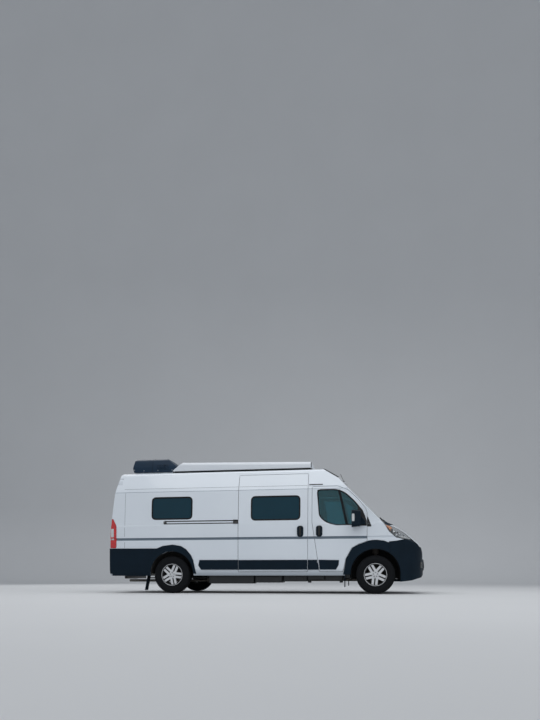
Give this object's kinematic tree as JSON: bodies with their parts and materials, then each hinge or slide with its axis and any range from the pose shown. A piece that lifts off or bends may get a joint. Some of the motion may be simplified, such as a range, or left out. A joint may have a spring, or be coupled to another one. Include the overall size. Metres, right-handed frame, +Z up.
{
  "type": "camper van",
  "caption": "High-roof panel van camper with a hinged roof lid over a folded tent, a rooftop cooler, a closed sliding side door, hinged cab and rear doors and steered front wheels.",
  "frame": {"origin": "on the ground under the middle of the whole vehicle's box", "axes": "+X forward, +Y to the left side, +Z up"},
  "size_m": [6.363, 2.494, 2.8699],
  "materials": {
    "white_paint": "gloss white paint",
    "white_gelcoat": "white gelcoat",
    "black_plastic": "grained black",
    "cooler_plastic": "matt dark grey",
    "dark_glass": "dark tinted",
    "clear_lens": "clear moulded lens",
    "red_lens": "red moulded lens",
    "seat_fabric": "grey woven",
    "dash_plastic": "grained dark grey",
    "cabinet_board": "light oak laminate",
    "mattress_fabric": "quilted",
    "tent_fabric": "coated black canvas",
    "engine_alloy": "as cast",
    "underseal": "black underseal",
    "tank_plastic": "black moulded",
    "cast_steel": "bare cast",
    "alloy_wheel": "silver lacquer",
    "tyre_rubber": "black rubber"
  },
  "bodies": {
    "van": {"floor": "underseal", "side_left": "white_paint", "side_right": "white_paint", "roof": "white_paint", "glazing": "dark_glass", "cowl": "black_plastic", "front_wings": "white_paint", "front_bumper": "black_plastic", "rear_bumper": "black_plastic", "side_cladding": "black_plastic", "headlamps": "clear_lens", "tail_lamps": "red_lens", "sliding_door": "white_paint", "cab_seats": "seat_fabric", "dashboard": "dash_plastic", "furniture": "cabinet_board", "mattress": "mattress_fabric", "engine": "engine_alloy", "front_subframe": "underseal", "rear_axle": "underseal", "underbody": "tank_plastic", "air_conditioner": "cooler_plastic", "tent": "tent_fabric"},
    "lid": {"poptop_lid": "white_gelcoat"},
    "bonnet": {"bonnet": "white_paint"},
    "cab_door_left": {"cab_door_left": "white_paint", "mirror_left": "black_plastic", "cab_glass_left": "dark_glass"},
    "cab_door_right": {"cab_door_right": "white_paint", "mirror_right": "black_plastic", "cab_glass_right": "dark_glass"},
    "rear_door_left": {"rear_door_left": "white_paint", "rear_glass_left": "dark_glass"},
    "rear_door_right": {"rear_door_right": "white_paint", "rear_glass_right": "dark_glass"},
    "knuckle_left": {"knuckle_left": "cast_steel"},
    "knuckle_right": {"knuckle_right": "cast_steel"},
    "wheel_front_left": {"rim_front_left": "alloy_wheel", "tyre_front_left": "tyre_rubber"},
    "wheel_front_right": {"rim_front_right": "alloy_wheel", "tyre_front_right": "tyre_rubber"},
    "wheel_rear_left": {"rim_rear_left": "alloy_wheel", "tyre_rear_left": "tyre_rubber"},
    "wheel_rear_right": {"rim_rear_right": "alloy_wheel", "tyre_rear_right": "tyre_rubber"}
  },
  "joints": [
    {"name": "lid_hinge", "type": "hinge", "parent": "van", "child": "lid", "pos_m": [-1.88, 0, 2.484], "axis": [0, -1, 0], "range_deg": [0, 17]},
    {"name": "bonnet_hinge", "type": "hinge", "parent": "van", "child": "bonnet", "pos_m": [2.396, 0, 1.412], "axis": [0, -1, 0], "range_deg": [0, 50]},
    {"name": "cab_door_left_hinge", "type": "hinge", "parent": "van", "child": "cab_door_left", "pos_m": [2.064, 1.027, 1.2], "axis": [0, 0, -1], "range_deg": [0, 70]},
    {"name": "cab_door_right_hinge", "type": "hinge", "parent": "van", "child": "cab_door_right", "pos_m": [2.064, -1.027, 1.2], "axis": [0, 0, 1], "range_deg": [0, 70]},
    {"name": "rear_door_left_hinge", "type": "hinge", "parent": "van", "child": "rear_door_left", "pos_m": [-3.107, 0.886, 1.45], "axis": [-0.08, 0, -0.9968], "range_deg": [0, 180]},
    {"name": "rear_door_right_hinge", "type": "hinge", "parent": "van", "child": "rear_door_right", "pos_m": [-3.107, -0.886, 1.45], "axis": [0.08, 0, 0.9968], "range_deg": [0, 180]},
    {"name": "steering_left", "type": "hinge", "parent": "van", "child": "knuckle_left", "pos_m": [2.2215, 0.835, 0.372], "axis": [0, 0, 1], "range_deg": [-35, 35]},
    {"name": "steering_right", "type": "hinge", "parent": "van", "child": "knuckle_right", "pos_m": [2.2215, -0.835, 0.372], "axis": [0, 0, 1], "range_deg": [-35, 35]},
    {"name": "wheel_front_left_spin", "type": "hinge", "parent": "knuckle_left", "child": "wheel_front_left", "pos_m": [2.2215, 0.905, 0.372], "axis": [0, 1, 0], "continuous": true},
    {"name": "wheel_front_right_spin", "type": "hinge", "parent": "knuckle_right", "child": "wheel_front_right", "pos_m": [2.2215, -0.905, 0.372], "axis": [0, 1, 0], "continuous": true},
    {"name": "wheel_rear_left_spin", "type": "hinge", "parent": "van", "child": "wheel_rear_left", "pos_m": [-1.8135, 0.9, 0.372], "axis": [0, 1, 0], "continuous": true},
    {"name": "wheel_rear_right_spin", "type": "hinge", "parent": "van", "child": "wheel_rear_right", "pos_m": [-1.8135, -0.9, 0.372], "axis": [0, 1, 0], "continuous": true}
  ],
  "couplings": [
    {"joint": "steering_right", "follows": "steering_left", "ratio": 1}
  ]
}
